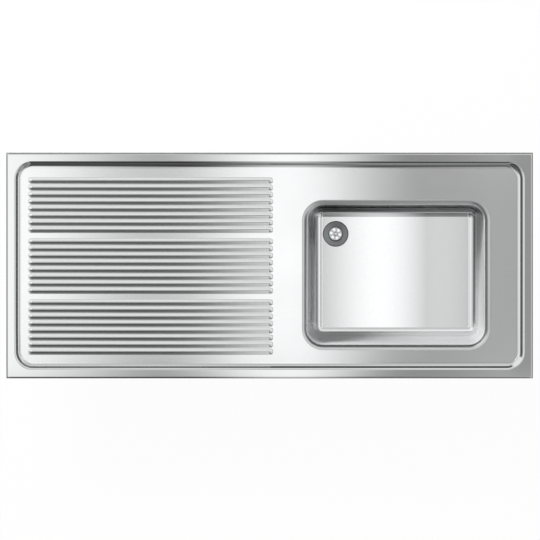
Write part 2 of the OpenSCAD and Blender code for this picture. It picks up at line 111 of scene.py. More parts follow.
class Shader:
    """A material under construction: its nodes come from one method."""

    def __init__(self, name: str) -> None:
        """Starts an empty material of that name."""
        self.material = bpy.data.materials.new(name)
        self.material.use_nodes = True
        self.tree = self.material.node_tree
        self.tree.nodes.clear()
        self.output = self.tree.nodes.new("ShaderNodeOutputMaterial")

    def node(self, kind: str, inputs: dict | None = None, out: int | str = 0, **settings: object) -> Wire:
        """Adds a node of any type.

        Args:
            kind: the node's type, without its prefix.
            inputs: values or wires for its sockets, by name or number.
            out: the output that is wanted.
            settings: its properties; "stops" holds a ramp's positions and greys.

        Returns:
            That output.
        """
        made = self.tree.nodes.new("ShaderNode" + kind)
        for key, value in settings.items():
            if key == "stops":
                self._fill_ramp(made.color_ramp, value)
            else:
                setattr(made, key, value)
        for key, value in (inputs or {}).items():
            self.feed(made.inputs[key], value)
        return Wire(self, made.outputs[out])

    def feed(self, socket: bpy.types.NodeSocket, value: Value) -> None:
        """Links a wire to a socket, or writes a plain value on it."""
        if isinstance(value, Wire):
            self.tree.links.new(value.socket, socket)
        else:
            socket.default_value = value

    @staticmethod
    def _fill_ramp(ramp: bpy.types.ColorRamp, stops: Sequence[tuple]) -> None:
        """Puts the stops, position and grey, on a ramp."""
        ramp.elements[0].position, ramp.elements[1].position = stops[0][0], stops[-1][0]
        for position, _ in stops[1:-1]:
            ramp.elements.new(position)
        for element, (_, grey) in zip(ramp.elements, stops):
            element.color = (grey, grey, grey, 1)

    def place(self, scale: Sequence[float] = (1, 1, 1)) -> Wire:
        """Object coordinates, stretched to so many repeats a metre along each axis."""
        spot = self.node("TexCoord", out="Object")
        return self.node("Mapping", {"Vector": spot, "Scale": tuple(scale)})

    def noise(self, where: Wire, scale: float = 1.0, detail: float = 2.0, rough: float = 0.5) -> Wire:
        """Smooth noise about one half: scale is repeats a unit, detail octaves, rough what each keeps."""
        inputs = {"Vector": where, "Scale": scale, "Detail": detail, "Roughness": rough}
        return self.node("TexNoise", inputs)

    def mix(self, share: Value, first: Value, second: Value) -> Wire:
        """A colour between first and second."""
        return self.node("Mix", {0: share, 6: first, 7: second}, 2, data_type="RGBA")

    def bump(self, height: Wire, distance: float, strength: float = 1.0) -> Wire:
        """A normal bent by a height of that many metres."""
        return self.node("Bump", {"Height": height, "Distance": distance, "Strength": strength})

    def finish(self, **inputs: Value) -> Material:
        """Closes the material with a Principled surface; its sockets are named with underscores."""
        named = {key.replace("_", " "): value for key, value in inputs.items()}
        return self.close(self.node("BsdfPrincipled", named, "BSDF"))

    def close(self, surface: Wire) -> Material:
        """Links the surface to the output and hands out the material."""
        self.tree.links.new(surface.socket, self.output.inputs["Surface"])
        return self.material


def rgba(colour: Sequence[float]) -> tuple:
    """A colour with full opacity."""
    return (*colour, 1.0)


def tone_of(colour: Sequence[float], shade: float) -> tuple:
    """A colour times a shade, no brighter than white, with full opacity."""
    return rgba([min(c * shade, 1.0) for c in colour])


# Finishes


class Grain(Enum):
    """How steel was brushed or turned, as repeats a metre along each axis."""

    ALONG = (9.0, 1900.0, 1900.0)
    DRAWN = (260.0, 260.0, 260.0)
    TURNED = (40.0, 40.0, 5200.0)


@dataclass
class Look:
    """What a finish varies over a surface; the height is in metres."""

    tint: Wire
    rough: Wire
    metallic: Value
    height: Wire


@dataclass(frozen=True)
class SatinSteel:
    """Stainless steel with fine brushing and slow unevenness."""

    name: str
    colour: tuple = (0.78, 0.79, 0.79)
    roughness: float = 0.15
    grain: Grain = Grain.ALONG
    grain_depth: float = 1.5e-6
    unevenness: float = 0.02
    metallic: float = 1.0

    def patch(self, shader: Shader, spot: Wire, look: Look) -> None:
        """Changes the look by place, as object coordinates; plain steel stays as it is."""

    def build(self) -> Material:
        """Makes the material: streaks along the brushing vary roughness, colour and height."""
        shader = Shader(self.name)
        streaks = shader.noise(shader.place(self.grain.value), detail=3.0, rough=0.6)
        slow = shader.noise(shader.place(), 7.0, 2.0)
        uneven = (slow - 0.5) * self.unevenness * 2 + (streaks - 0.5) * self.unevenness
        share = streaks.ramp(0.25, 0.75)
        tint = shader.mix(share, tone_of(self.colour, 0.98), tone_of(self.colour, 1.02))
        look = Look(tint, self.roughness + uneven, self.metallic, streaks * self.grain_depth)
        self.patch(shader, shader.place(), look)
        return shader.finish(
            Base_Color=look.tint, Metallic=look.metallic, Roughness=look.rough,
            Normal=shader.bump(look.height, 1.0), Specular_IOR_Level=0.0,
        )


@dataclass(frozen=True)
class PressedSteel(SatinSteel):
    """The worktop's sheet: a smoother rim, with painted shade on the rim, the bent edges and the rear step's
    front face.

    Lines are half lengths and half widths of rectangles; blends are ramps outwards from them.
    """

    rim_line: tuple = (0.6595, 0.2595)
    rim_blend: tuple = (-0.004, 0.002)
    rim_roughness: float = 0.065
    # painted shade: the rim is a darker copy of the steel
    painted_rim_shade: float = 0.9
    bend_line: tuple = (0.6972, 0.2972)
    bend_blend: tuple = (-0.001, 0.0006)
    # painted shade: a dark line along the bent outer edges
    painted_bend_shade: float = 0.6
    rear_from: tuple = (0.245, 0.252)
    rear_facing: tuple = (-0.1, -0.28)
    # painted shade on the rear step's front face only
    painted_rear_shade: float = 0.6

    def patch(self, shader: Shader, spot: Wire, look: Look) -> None:
        """Polishes the rim, and paints shade on the rim, the bent edges and the rear step's front face."""
        across = spot.part("Y")

        def outside(line: tuple) -> Wire:
            """How far a spot lies outside a rectangle."""
            return (abs(spot.part("X")) - line[0]).larger(abs(across) - line[1])

        rim = outside(self.rim_line).ramp(*self.rim_blend)
        look.rough += rim * (self.rim_roughness - self.roughness)
        look.metallic = self.metallic + rim * (1 - self.metallic)
        bend = outside(self.bend_line).ramp(*self.bend_blend)
        facing = shader.node("NewGeometry", out="Normal").part("Y")
        rear = across.ramp(*self.rear_from) * facing.ramp(*self.rear_facing)
        # painted shade: darker tints on the rim, the bent edges and the rear step's front face
        painted_shades = (rim, self.painted_rim_shade), (bend, self.painted_bend_shade), (rear, self.painted_rear_shade)
        for share, shade in painted_shades:
            look.tint = shader.mix(share, look.tint, tone_of(self.colour, shade))


@dataclass(frozen=True)
class DrawnSteel(SatinSteel):
    """The bowl's sheet: satin front and right walls, painted shade on the others and on the rolled top edge,
    a floor that falls.

    Pairs are ramps over the object's own coordinates, in metres.
    """

    wall_low: tuple = (-0.2178, -0.212)
    wall_high: tuple = (0.02, 0.008)
    # painted shade: the left and rear walls are darker than the satin ones
    painted_wall_shade: float = 0.75
    satin_front: tuple = (-0.15, -0.172)
    satin_right: tuple = (0.542, 0.556)
    satin_metallic: float = 0.4
    rear_from: tuple = (0.125, 0.14)
    # painted shade: a dark band on the rear wall
    painted_rear_shade: float = 0.26
    seam_from: tuple = (0.012, 0.02)
    seam_roughness: float = 0.32
    # painted shade on the rolled top edge; its roughness is real
    painted_seam_shade: float = 0.88
    fall: float = 0.05
    crown: float = 0.03
    lift: float = 0.0055
    lift_along: tuple = (0.42, 0.8)

    def patch(self, shader: Shader, spot: Wire, look: Look) -> None:
        """Paints shade on the walls and the seam, and bends the floor by a height along the bowl."""
        along, across, up = (spot.part(axis) for axis in "XYZ")
        wall = up.ramp(*self.wall_low) * up.ramp(*self.wall_high)
        seam = up.ramp(*self.seam_from)
        satin = wall * across.ramp(*self.satin_front).larger(along.ramp(*self.satin_right))
        rear = wall * across.ramp(*self.rear_from)
        look.metallic = self.metallic + satin * (self.satin_metallic - self.metallic)
        look.rough += seam * (self.seam_roughness - self.roughness)
        # painted shade: darker tints on the walls, the rear wall and the rolled top edge
        painted_shades = (wall - satin, self.painted_wall_shade), (rear, self.painted_rear_shade), (seam, self.painted_seam_shade)
        for share, shade in painted_shades:
            look.tint = shader.mix(share, look.tint, tone_of(self.colour, shade))
        look.height += along * (self.fall - along * self.crown)
        look.height += along.ramp(*self.lift_along) * self.lift


@dataclass(frozen=True)
class BandedSteel(SatinSteel):
    """Turned or polished steel with painted light along a ramp of its height: painted shade below one, a
    painted highlight above one.
    """

    painted_light_band: tuple = (0.0, 1.0)
    painted_light_factor: float = 1.0

    def patch(self, shader: Shader, spot: Wire, look: Look) -> None:
        """Tints the ramp of height by the factor: painted shade below one, a painted highlight above one."""
        # painted shade or painted highlight, by the factor
        share = spot.part("Z").ramp(*self.painted_light_band)
        look.tint = shader.mix(share, look.tint, tone_of(self.colour, self.painted_light_factor))


@dataclass(frozen=True)
class Galvanised:
    """Hot-dipped zinc: crystals of differing shade with faint borders and dull patches."""

    name: str
    colour: tuple = (0.60, 0.62, 0.64)
    crystal: float = 0.011
    bend: float = 0.004

    def build(self) -> Material:
        """Makes the material from Voronoi cells for the crystals and slow noise for the patches."""
        shader = Shader(self.name)
        bent = shader.noise(shader.place(), 90.0, 2.0)
        sums = {0: bent, 1: (self.bend,) * 3, 2: shader.place()}
        spot = shader.node("VectorMath", sums, operation="MULTIPLY_ADD")
        cells = {"Vector": spot, "Scale": 1 / self.crystal}
        tone = shader.node("TexVoronoi", cells, "Color").part("X")
        border = shader.node("TexVoronoi", cells, "Distance", feature="DISTANCE_TO_EDGE")
        patches = shader.noise(shader.place(), 14.0, 3.0)
        shade = tone * 0.7 + patches * 0.5 - 0.1
        tint = shader.mix(shade, tone_of(self.colour, 0.74), tone_of(self.colour, 1.12))
        rough = 0.34 + tone * 0.16 + patches * 0.14
        normal = shader.bump(border.ramp(0.0, 0.12) + patches * 0.5, 2e-5)
        return shader.finish(Base_Color=tint, Metallic=0.92, Roughness=rough, Normal=normal)


@dataclass(frozen=True)
class Rubber:
    """Soft dark rubber or adhesive: matt, with a fine pebble and dusty patches."""

    name: str
    colour: tuple = (0.05, 0.05, 0.05)
    roughness: float = 0.7
    pebble: float = 900.0

    def build(self) -> Material:
        """Makes the material: fine noise for the pebble, slow noise for the dust."""
        shader = Shader(self.name)
        fine = shader.noise(shader.place(), self.pebble, 3.0)
        dust = shader.noise(shader.place(), 25.0, 3.0)
        dusty = rgba([c * 1.7 + 0.01 for c in self.colour])
        tint = shader.mix(dust.ramp(0.45, 0.8), rgba(self.colour), dusty)
        rough = self.roughness + (dust - 0.5) * 0.2
        return shader.finish(Base_Color=tint, Roughness=rough, Normal=shader.bump(fine, 3e-5))


@dataclass(frozen=True)
class SoundPad:
    """Bitumen damping sheet: a dark matt sheet embossed with a small diamond pattern."""

    name: str
    colour: tuple = (0.16, 0.16, 0.17)
    diamond: float = 0.006

    def build(self) -> Material:
        """Makes the material: two sine waves across each other give the diamonds, noise the grit."""
        shader = Shader(self.name)
        spot = shader.place()
        wave = 2 * pi / self.diamond
        x, y, z = (spot.part(axis) for axis in "XYZ")
        across, along = (x + y + z) * wave, (x - y - z) * wave
        diamonds = across.maths("SINE", across) * along.maths("SINE", along)
        grit = shader.noise(shader.place(), 1500.0, 2.0)
        shade = diamonds.ramp(-0.6, 0.9) * 0.7 + grit * 0.3
        tint = shader.mix(shade, tone_of(self.colour, 0.72), tone_of(self.colour, 1.25))
        rough = 0.62 + grit * 0.25
        normal = shader.bump(diamonds * 0.8 + grit * 0.2, 2.5e-4)
        return shader.finish(Base_Color=tint, Roughness=rough, Normal=normal)


@dataclass(frozen=True)
class MouldedPlastic:
    """Plain moulded plastic with faint flow marks."""

    name: str
    colour: tuple = (0.85, 0.85, 0.82)

    def build(self) -> Material:
        """Makes the material: slow noise shades the colour, fine noise roughens it."""
        shader = Shader(self.name)
        slow = shader.noise(shader.place((1, 1, 3)), 60.0, 2.0)
        fine = shader.noise(shader.place(), 1800.0, 2.0)
        tint = shader.mix(slow, tone_of(self.colour, 0.93), rgba(self.colour))
        rough = 0.38 + fine * 0.12
        return shader.finish(Base_Color=tint, Roughness=rough, Normal=shader.bump(fine, 8e-6))


@dataclass(frozen=True)
class MachinedMetal:
    """Small turned or pressed fittings, with threads drawn as fine rings."""

    name: str
    colour: tuple = (0.65, 0.66, 0.66)
    roughness: float = 0.28
    thread_pitch: float = 0.001
    tarnish: float = 0.3

    def build(self) -> Material:
        """Makes the material: a sine of the height gives the rings, slow noise the tarnish."""
        shader = Shader(self.name)
        spot = shader.place()
        height = spot.part("Z") * (2 * pi / self.thread_pitch)
        rings = height.maths("SINE", height)
        slow = shader.noise(spot, 120.0, 3.0)
        dull = slow.ramp(0.4, 0.75) * self.tarnish
        tint = shader.mix(dull, rgba(self.colour), tone_of(self.colour, 0.55))
        rough, normal = self.roughness + dull * 0.3, shader.bump(rings, 4e-5, 0.6)
        return shader.finish(Base_Color=tint, Metallic=1.0, Roughness=rough, Normal=normal)


# Surfaces


def compass(angles: Array) -> Array:
    """Unit directions at these angles, one to a row."""
    return np.stack([np.cos(angles), np.sin(angles)], -1)


def raised(rings: Array, heights: Array) -> Array:
    """Rings of points in plan, each lifted to its height."""
    lift = np.broadcast_to(heights[:, None, None], (*rings.shape[:2], 1))
    return np.concatenate([rings, lift], 2)


@dataclass(frozen=True)
class Fold:
    """A straight run of a bent sheet, then an arc of a radius and a turn, positive to the left."""

    run: float
    radius: float = 0.0
    turn: float = 0.0
    steps: int = 1
    run_steps: int = 1


def bent_path(folds: Sequence[Fold], start: tuple = (0.0, 0.0), heading: float = 0.0) -> Array:
    """Follows a bent sheet's face: straight runs along the heading, arcs between them.

    Args:
        folds: the folds in order.
        start: the first point, across and up.
        heading: the first direction in degrees, 0 along the first axis.

    Returns:
        The points, one row each.
    """
    points = [np.array(start, float)]
    for fold in folds:
        ahead = compass(radians(heading))
        if fold.run > 0:
            base = points[-1]
            points += [base + ahead * fold.run * (i + 1) / fold.run_steps for i in range(fold.run_steps)]
        if fold.turn:
            side = copysign(1.0, fold.turn)
            centre = points[-1] + side * fold.radius * np.array([-ahead[1], ahead[0]])
            angles = np.radians(heading - 90 * side + np.linspace(0, fold.turn, fold.steps + 1)[1:])
            points += list(centre + fold.radius * compass(angles))
            heading += fold.turn
    return np.array(points)


@dataclass(frozen=True)
class RoundedFrame:
    """The directions round a rectangle with rounded corners, shared by all the rings of one surface.

    A ring keeps its distance from the line of the corners' centres, so a swept section keeps its shape.
    """

    half_l: float
    half_w: float
    corner_r: float
    centre: tuple = (0.0, 0.0)
    corner_steps: int = 24
    side_steps: int = 8

    def spokes(self) -> tuple[Array, Array]:
        """Works out each spoke's start, on the corners' centres or between them, and its direction.

        Returns:
            The starts and the unit directions, counter-clockwise from the right front corner's end.
        """
        quarter = np.radians(np.linspace(0, 90, self.corner_steps + 1))
        reach = np.array([self.half_l - self.corner_r, self.half_w - self.corner_r])
        signs = np.array([[1, 1], [-1, 1], [-1, -1], [1, -1]])
        starts, ways = [], []
        for q in range(4):
            turn = quarter + q * pi / 2
            starts.append(np.tile(signs[q] * reach, (len(turn), 1)))
            ways.append(compass(turn))
            share = np.arange(1, self.side_steps)[:, None] / self.side_steps
            starts.append(signs[q] * reach * (1 - share) + signs[(q + 1) % 4] * reach * share)
            ways.append(np.tile(ways[-1][-1], (self.side_steps - 1, 1)))
        return np.concatenate(starts) + self.centre, np.concatenate(ways)

    def sweep(self, section: Array, sharp: bool = False) -> Array:
        """Carries a section round the frame.

        Args:
            section: distance inwards from the frame's edge, and height, one row a ring.
            sharp: whether the corners are drawn out to square ones.

        Returns:
            Points as rings by spokes by three.
        """
        starts, ways = self.spokes()
        if sharp:
            ways = ways / np.abs(ways).max(1, keepdims=True)
        reach = self.corner_r - section[:, :1, None]
        return raised(starts + ways * reach, section[:, 1])


def turned(profile: Array, centre: tuple, steps: int) -> Array:
    """Turns a profile, radius and height, round an upright axis.

    Args:
        profile: the points from the start of the surface to its end.
        centre: the axis in plan.
        steps: points in a ring.

    Returns:
        Points as rings by steps by three.
    """
    ring = compass(np.linspace(0, 2 * pi, steps, endpoint=False))
    return raised(profile[:, :1, None] * ring + centre, profile[:, 1])


@dataclass
class Skin:
    """A surface gathered from grids and flat fills, in millimetres; the two limits are in metres."""

    points: list = field(default_factory=list)
    faces: list = field(default_factory=list)
    count: int = 0
    doubles: float = 2e-6
    slivers: float = 1e-7

    def add(self, points: Array, faces: Array) -> None:
        """Adds points and the faces on them."""
        self.points.append(points)
        self.faces += (faces + self.count).tolist()
        self.count += len(points)

    def grid(self, rows: Array, closed: bool = True, flip: bool = False) -> None:
        """Joins neighbouring rows of points with four-sided faces.

        Args:
            rows: points as rows by columns by three.
            closed: whether the last column meets the first.
            flip: whether the faces look the other way.
        """
        number = np.arange(rows[..., 0].size).reshape(rows.shape[:2])
        if closed:
            number = np.concatenate([number, number[:, :1]], 1)
        corners = [number[:-1, :-1], number[:-1, 1:], number[1:, 1:], number[1:, :-1]]
        quads = np.stack(corners, -1).reshape(-1, 4)
        self.add(rows.reshape(-1, 3), quads[:, ::-1] if flip else quads)

    def fill(self, loops: Sequence[Array], up: bool = True) -> None:
        """Fills the flat region inside the first loop and outside the others with triangles.

        Args:
            loops: closed loops of points at one height.
            up: whether the faces look upwards.
        """
        made = bmesh.new()
        edges = []
        for loop in loops:
            ring = [made.verts.new(p) for p in loop]
            edges += [made.edges.new((a, b)) for a, b in zip(ring, ring[1:] + ring[:1])]
        bmesh.ops.triangle_fill(made, use_beauty=True, use_dissolve=False, edges=edges, normal=(0, 0, 1))
        made.verts.index_update()
        points = np.array([v.co for v in made.verts])
        faces = np.array([[v.index for v in f.verts] for f in made.faces])
        made.free()
        a, b, c = (points[faces[:, i], :2] for i in range(3))
        ab, ac = b - a, c - a
        area = ab[:, 0] * ac[:, 1] - ab[:, 1] * ac[:, 0]
        wrong = area < 0 if up else area > 0
        faces[wrong] = faces[wrong][:, ::-1]
        self.add(points, faces)

    def make(self, name: str, thickness: float = 0.0, crease: float = 35.0) -> bpy.types.Object:
        """Puts the surface into an object, with its doubles merged and its edges marked.

        Args:
            name: the object's name.
            thickness: the sheet's thickness, grown behind the surface; none leaves it as it is.
            crease: edges sharper than this many degrees stay sharp.

        Returns:
            The object, at the origin.
        """
        mesh = bpy.data.meshes.new(name)
        mesh.from_pydata((np.concatenate(self.points) * MM).tolist(), [], self.faces)
        made = bmesh.new()
        made.from_mesh(mesh)
        bmesh.ops.remove_doubles(made, verts=made.verts, dist=self.doubles)
        bmesh.ops.dissolve_degenerate(made, edges=made.edges, dist=self.slivers)
        made.to_mesh(mesh)
        made.free()
        piece = bpy.data.objects.new(name, mesh)
        bpy.context.scene.collection.objects.link(piece)
        if thickness:
            grow = piece.modifiers.new("sheet", "SOLIDIFY")
            grow.thickness, grow.offset, grow.use_even_offset = thickness * MM, -1.0, True
        depsgraph = bpy.context.evaluated_depsgraph_get()
        settled = bpy.data.meshes.new_from_object(piece.evaluated_get(depsgraph))
        piece.modifiers.clear()
        piece.data = settled
        settled.name = name
        bpy.data.meshes.remove(mesh)
        settled.shade_smooth()
        settled.set_sharp_from_angle(angle=radians(crease))
        return piece


def put(piece: bpy.types.Object, body: str, slot: str, material: Material, *nodes: str) -> None:
    """Gives a new piece its body, material and the nodes that it stands for, and logs it."""
    piece.data.materials.append(material)
    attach(piece, body)
    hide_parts(*nodes)
    LOG.info("%s: %d faces, for %s", piece.name, len(piece.data.polygons), ", ".join(nodes))


# Sub-assemblies


@dataclass(frozen=True)
class BowlOpening:
    """Where the bowl hangs in the worktop, shared by both."""

    length: float = 500.0
    width: float = 400.0
    centre: tuple = (336.0, -25.0)
    corner_r: float = 57.0

    def frame(self) -> RoundedFrame:
        """The rounded rectangle of the opening."""
        return RoundedFrame(self.length / 2, self.width / 2, self.corner_r, self.centre, 28, 10)


@dataclass
class Worktop:
    """The pressed top: turned-down edges, rim, curved step, deck and the drainer's ribs."""

    length: float = 1400.0
    width: float = 600.0
    edge_h: float = 40.0
    sheet: float = 1.2
    edge_r: float = 4.0
    lower_r: float = 1.6
    return_w: float = 15.0
    rim_w: float = 21.5
    step_w: float = 20.5
    step_drop: float = 8.0
    step_slope: float = 52.0
    step_mid_r: float = 7.0
    step_toe_slope: float = 14.0
    step_corner_r: float = 48.5
    step_left: float = 0.78
    step_rise: float = 0.7
    step_front: tuple = (0.45, 0.35)
    groups: int = 3
    ribs: int = 8
    rib_pitch: float = 18.63
    group_pitch: float = 161.9
    drainer_y: float = -1.3
    rib_h: float = 2.8
    crest_w: float = 1.2
    valley_w: float = 1.0
    toe_slope: float = 3.0
    rib_l: float = 652.0
    rib_x: float = -317.0
    end_l: float = 11.0
    flank_steps: int = 9
    crest_points: tuple = (0.66, 0.33, 0.0)
    end_steps: int = 13
    long_steps: int = 9
    opening: BowlOpening = BowlOpening()

    @property
    def deck_z(self) -> float:
        """Height of the deck's face."""
        return self.edge_h - self.step_drop

    @property
    def rib_half(self) -> float:
        """Half of a rib's width."""
        return (self.rib_pitch - self.valley_w) / 2

    def flank(self) -> tuple[float, float, float, float]:
        """Works out the arc of a rib's flank, from the toe's slope at the deck up to the crest.

        Returns:
            Radius, its centre's distance from the rib's middle and height, and the slope at the crest.
        """
        run = self.rib_half - self.crest_w / 2
        chord = atan2(self.rib_h, run)
        toe = radians(self.toe_slope)
        radius = hypot(run, self.rib_h) / (2 * sin(chord - toe))
        return radius, self.rib_half + radius * sin(toe), radius * cos(toe), 2 * chord - toe

    def rib_height(self, away: Array) -> Array:
        """Height of a rib away from its middle line: a round crest, a hollow flank, then the deck.

        Args:
            away: distances from the middle line.

        Returns:
            Heights above the deck.
        """
        radius, centre, up, top_slope = self.flank()
        half = self.crest_w / 2
        crest_r = half / sin(top_slope)
        crest = self.rib_h - crest_r * cos(top_slope) + np.sqrt(np.maximum(crest_r**2 - away**2, 0))
        flank = up - np.sqrt(np.maximum(radius**2 - (centre - away) ** 2, 0))
        return np.where(away < half, crest, np.where(away < self.rib_half, flank, 0.0))

    def rib_group(self, middle: float) -> tuple[Array, Array]:
        """Works out one group of ribs as heights on a grid, each eased down to the deck at its ends.

        Args:
            middle: the group's middle across the deck.

        Returns:
            The grid, and its border as a loop.
        """
        radius, centre, _, top_slope = self.flank()
        slopes = np.linspace(radians(self.toe_slope), top_slope, self.flank_steps)
        flank = centre - radius * np.sin(slopes)
        half = np.concatenate([flank, self.crest_w / 2 * np.array(self.crest_points)])
        rib = np.concatenate([-half, half[::-1][1:]])
        offsets = (np.arange(self.ribs) - (self.ribs - 1) / 2) * self.rib_pitch
        edge = self.ribs * self.rib_pitch / 2
        across = np.concatenate([[-edge], (offsets[:, None] + rib[None]).ravel(), [edge]])
        nearest = np.abs(across[:, None] - offsets[None]).min(1)
        straight = self.rib_l / 2 - self.end_l
        end = straight + self.end_l * np.linspace(0, 1, self.end_steps)
        border_x = self.rib_l / 2 + self.valley_w / 2
        middle_part = np.linspace(-straight, straight, self.long_steps)[1:-1]
        right = np.concatenate([[straight - COLLAR], end, [border_x]])
        along = np.concatenate([-right[::-1], middle_part, right])
        share = np.clip((self.rib_l / 2 - np.abs(along)) / self.end_l, 0, 1)
        ease = share * share * (3 - 2 * share)
        height = self.deck_z + self.rib_height(nearest)[None] * ease[:, None]
        x, y = np.meshgrid(along + self.rib_x, across + middle + self.drainer_y, indexing="ij")
        rows = np.stack([x, y, height], -1)
        border = np.concatenate([rows[:-1, 0], rows[-1, :-1], rows[:0:-1, -1], rows[0, :0:-1]])
        return rows, border

    def step(self) -> Array:
        """The step's section: a round shoulder, a tighter hollow and a long flat hollow down to the deck.

        The radii of the shoulder and the last hollow solve two linear equations for its width and drop.

        Returns:
            Distance inwards from the edge, and height.
        """
        steep, toe = radians(self.step_slope), radians(self.step_toe_slope)
        width = self.step_w - self.step_mid_r * (sin(steep) - sin(toe))
        drop = self.step_drop - self.step_mid_r * (cos(toe) - cos(steep))
        system = [[sin(steep), sin(toe)], [1 - cos(steep), 1 - cos(toe)]]
        shoulder_r, toe_r = np.linalg.solve(system, [width, drop])
        return bent_path(
            [Fold(COLLAR, shoulder_r, -self.step_slope, 12),
             Fold(0, self.step_mid_r, self.step_slope - self.step_toe_slope, 9),
             Fold(0, toe_r, self.step_toe_slope, 8), Fold(COLLAR)],
            (self.rim_w - COLLAR, self.edge_h),
        )

    def narrowed(self, rings: Array) -> Array:
        """Draws the step in to the left, except along the front.

        The share of its width that is kept rises in a line from its least at the left end.

        Args:
            rings: the step's rings, the outermost first.

        Returns:
            The changed rings.
        """
        x, y = rings[:1, :, :1] / self.length, rings[:1, :, 1:2] / self.width
        start, end = self.step_front
        rise = np.clip((x + 0.5) / self.step_rise, 0, 1)
        behind = np.clip((y + start) / (start - end), 0, 1)
        share = 1 - (1 - self.step_left) * (1 - rise) * behind
        flat = rings[:1, :, :2] + (rings[:, :, :2] - rings[:1, :, :2]) * share
        return np.concatenate([flat, rings[:, :, 2:]], 2)

    def build(self, material: Material) -> None:
        """Builds the top's upper face as one surface and grows the sheet behind it.

        The edge and the step are sections carried round; the deck is filled between the step, the ribs
        and the bowl's opening.
        """
        outer = RoundedFrame(self.length / 2, self.width / 2, self.rim_w + self.step_corner_r)
        edge = -bent_path(
            [Fold(self.return_w - self.lower_r, self.lower_r, -90, 5),
             Fold(self.edge_h - self.lower_r - self.edge_r, self.edge_r, -90, 7), Fold(COLLAR)],
            (-self.return_w, 0.0),
        )
        edge_rings = outer.sweep(edge, sharp=True)
        step_rings = self.narrowed(outer.sweep(self.step()))
        skin = Skin()
        skin.grid(edge_rings)
        skin.grid(np.stack([edge_rings[-1], step_rings[0]]))
        skin.grid(step_rings)
        borders = []
        for g in range(self.groups):
            rows, border = self.rib_group((g - (self.groups - 1) / 2) * self.group_pitch)
            skin.grid(rows, closed=False, flip=True)
            borders.append(border)
        rim = self.opening.frame().sweep(np.array([[0.0, self.deck_z]]))[0]
        skin.fill([step_rings[-1], *borders, rim])
        put(skin.make("worktop_sheet", self.sheet), "sink", "worktop_steel", material, "worktop")


